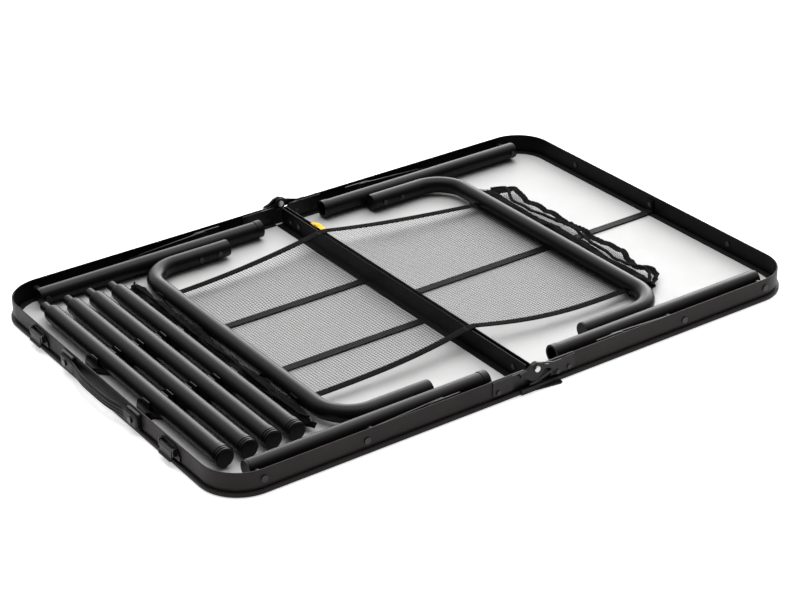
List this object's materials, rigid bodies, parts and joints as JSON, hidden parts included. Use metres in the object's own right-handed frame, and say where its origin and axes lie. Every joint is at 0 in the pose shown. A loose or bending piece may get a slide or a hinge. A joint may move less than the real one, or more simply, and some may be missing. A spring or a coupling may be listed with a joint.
{
  "type": "fold-in-half camping table",
  "caption": "Suitcase type folding table lying open on its top: two hinged half boards in rims, fold-out legs with knee stays, a net shelf, loose extension poles, a handle and latches.",
  "frame": {"origin": "on the table-top face, at the fold line and mid width", "axes": "+X along the table, away from the handle; +Y across it; +Z from the table-top face to the underside, which is up here"},
  "size_m": [0.9126, 0.6152, 0.0415],
  "materials": {
    "rim": "satin dark grey-brown coating",
    "board": "light grey laminate on board, matte",
    "tube": "satin dark grey coating",
    "plastic": "moulded black",
    "strap": "ribbed flexible black",
    "latch": "dull plated",
    "plate": "dark grey",
    "steel": "plated rivets and screws",
    "net": "open polyester net"
  },
  "bodies": {
    "left_half": {"left_rail": "rim", "left_panel": "board", "left_fold_rail": "rim", "left_ribs": "rim", "pole_clips_far": "plastic", "pole_clips_near": "plastic", "handle_strap": "strap", "handle_mounts": "plastic", "latch_bases": "plastic", "left_hinge_plates": "plate", "hinge_caps": "plastic", "hinge_pins": "steel", "left_fasteners": "steel", "left_mesh": "net"},
    "right_half": {"right_rail": "rim", "right_panel": "board", "right_fold_rail": "rim", "right_rib": "rim", "latch_catches": "plate", "right_hinge_plates": "plate", "right_fasteners": "steel", "right_mesh": "net"},
    "left_legs": {"left_leg_far": "tube", "left_leg_near": "tube", "left_brace": "tube", "left_leg_fasteners": "steel", "left_leg_plugs": "plastic", "left_leg_sleeves": "plastic", "left_mesh_clips": "plastic", "left_mesh_roll": "net"},
    "left_lower_link_far": {"left_stay_lower_far": "plate"},
    "left_upper_link_far": {"left_stay_upper_far": "plate"},
    "left_lower_link_near": {"left_stay_lower_near": "plate"},
    "left_upper_link_near": {"left_stay_upper_near": "plate"},
    "right_legs": {"right_leg_far": "tube", "right_leg_near": "tube", "right_brace": "tube", "right_leg_fasteners": "steel", "right_leg_plugs": "plastic", "right_leg_sleeves": "plastic", "right_mesh_clips": "plastic", "right_mesh_roll": "net"},
    "right_lower_link_far": {"right_stay_lower_far": "plate"},
    "right_upper_link_far": {"right_stay_upper_far": "plate"},
    "right_lower_link_near": {"right_stay_lower_near": "plate"},
    "right_upper_link_near": {"right_stay_upper_near": "plate"},
    "pole_1": {"pole_1_tube": "tube", "pole_1_spigot": "plastic", "pole_1_foot": "plastic"},
    "pole_2": {"pole_2_tube": "tube", "pole_2_spigot": "plastic", "pole_2_foot": "plastic"},
    "pole_3": {"pole_3_tube": "tube", "pole_3_spigot": "plastic", "pole_3_foot": "plastic"},
    "pole_4": {"pole_4_tube": "tube", "pole_4_spigot": "plastic", "pole_4_foot": "plastic"},
    "latch_lever_far": {"latch_far": "latch"},
    "latch_lever_near": {"latch_near": "latch"}
  },
  "joints": [
    {"name": "fold", "type": "hinge", "parent": "left_half", "child": "right_half", "pos_m": [0, 0, 0.0325], "axis": [0, 1, 0], "range_deg": [-180, 0]},
    {"name": "left_legs_fold", "type": "hinge", "parent": "left_half", "child": "left_legs", "pos_m": [-0.3935, 0, 0.019], "axis": [0, -1, 0], "range_deg": [0, 90], "deforming": ["left_mesh"]},
    {"name": "left_stay_lower_far_pivot", "type": "hinge", "parent": "left_half", "child": "left_lower_link_far", "pos_m": [-0.25, 0.289, 0.017], "axis": [0, -1, 0], "range_deg": [0, 128.5]},
    {"name": "left_stay_upper_far_pivot", "type": "hinge", "parent": "left_legs", "child": "left_upper_link_far", "pos_m": [-0.2352, 0.287, 0.019], "axis": [0, 1, 0], "range_deg": [0, 141.2]},
    {"name": "left_stay_lower_near_pivot", "type": "hinge", "parent": "left_half", "child": "left_lower_link_near", "pos_m": [-0.25, -0.289, 0.017], "axis": [0, -1, 0], "range_deg": [0, 128.5]},
    {"name": "left_stay_upper_near_pivot", "type": "hinge", "parent": "left_legs", "child": "left_upper_link_near", "pos_m": [-0.2352, -0.287, 0.019], "axis": [0, 1, 0], "range_deg": [0, 141.2]},
    {"name": "right_legs_fold", "type": "hinge", "parent": "right_half", "child": "right_legs", "pos_m": [0.3935, 0, 0.019], "axis": [0, 1, 0], "range_deg": [0, 90], "deforming": ["right_mesh"]},
    {"name": "right_stay_lower_far_pivot", "type": "hinge", "parent": "right_half", "child": "right_lower_link_far", "pos_m": [0.25, 0.289, 0.017], "axis": [0, 1, 0], "range_deg": [0, 128.5]},
    {"name": "right_stay_upper_far_pivot", "type": "hinge", "parent": "right_legs", "child": "right_upper_link_far", "pos_m": [0.2352, 0.287, 0.019], "axis": [0, -1, 0], "range_deg": [0, 141.2]},
    {"name": "right_stay_lower_near_pivot", "type": "hinge", "parent": "right_half", "child": "right_lower_link_near", "pos_m": [0.25, -0.289, 0.017], "axis": [0, 1, 0], "range_deg": [0, 128.5]},
    {"name": "right_stay_upper_near_pivot", "type": "hinge", "parent": "right_legs", "child": "right_upper_link_near", "pos_m": [0.2352, -0.287, 0.019], "axis": [0, -1, 0], "range_deg": [0, 141.2]},
    {"name": "pole_1_lift", "type": "slide", "parent": "left_half", "child": "pole_1", "axis": [0, 0, 1], "range_m": [0, 0.05]},
    {"name": "pole_2_lift", "type": "slide", "parent": "left_half", "child": "pole_2", "axis": [0, 0, 1], "range_m": [0, 0.05]},
    {"name": "pole_3_lift", "type": "slide", "parent": "left_half", "child": "pole_3", "axis": [0, 0, 1], "range_m": [0, 0.05]},
    {"name": "pole_4_lift", "type": "slide", "parent": "left_half", "child": "pole_4", "axis": [0, 0, 1], "range_m": [0, 0.05]},
    {"name": "latch_far_swing", "type": "hinge", "parent": "left_half", "child": "latch_lever_far", "pos_m": [-0.4515, 0.172, 0.023], "axis": [0, 1, 0], "range_deg": [0, 140]},
    {"name": "latch_near_swing", "type": "hinge", "parent": "left_half", "child": "latch_lever_near", "pos_m": [-0.4515, -0.172, 0.023], "axis": [0, 1, 0], "range_deg": [0, 140]}
  ],
  "couplings": [
    {"joint": "left_stay_lower_far_pivot", "follows": "left_legs_fold", "ratio": 1.4261},
    {"joint": "left_stay_upper_far_pivot", "follows": "left_legs_fold", "ratio": 1.5669},
    {"joint": "left_stay_lower_near_pivot", "follows": "left_legs_fold", "ratio": 1.4261},
    {"joint": "left_stay_upper_near_pivot", "follows": "left_legs_fold", "ratio": 1.5669},
    {"joint": "right_stay_lower_far_pivot", "follows": "right_legs_fold", "ratio": 1.4261},
    {"joint": "right_stay_upper_far_pivot", "follows": "right_legs_fold", "ratio": 1.5669},
    {"joint": "right_stay_lower_near_pivot", "follows": "right_legs_fold", "ratio": 1.4261},
    {"joint": "right_stay_upper_near_pivot", "follows": "right_legs_fold", "ratio": 1.5669}
  ]
}
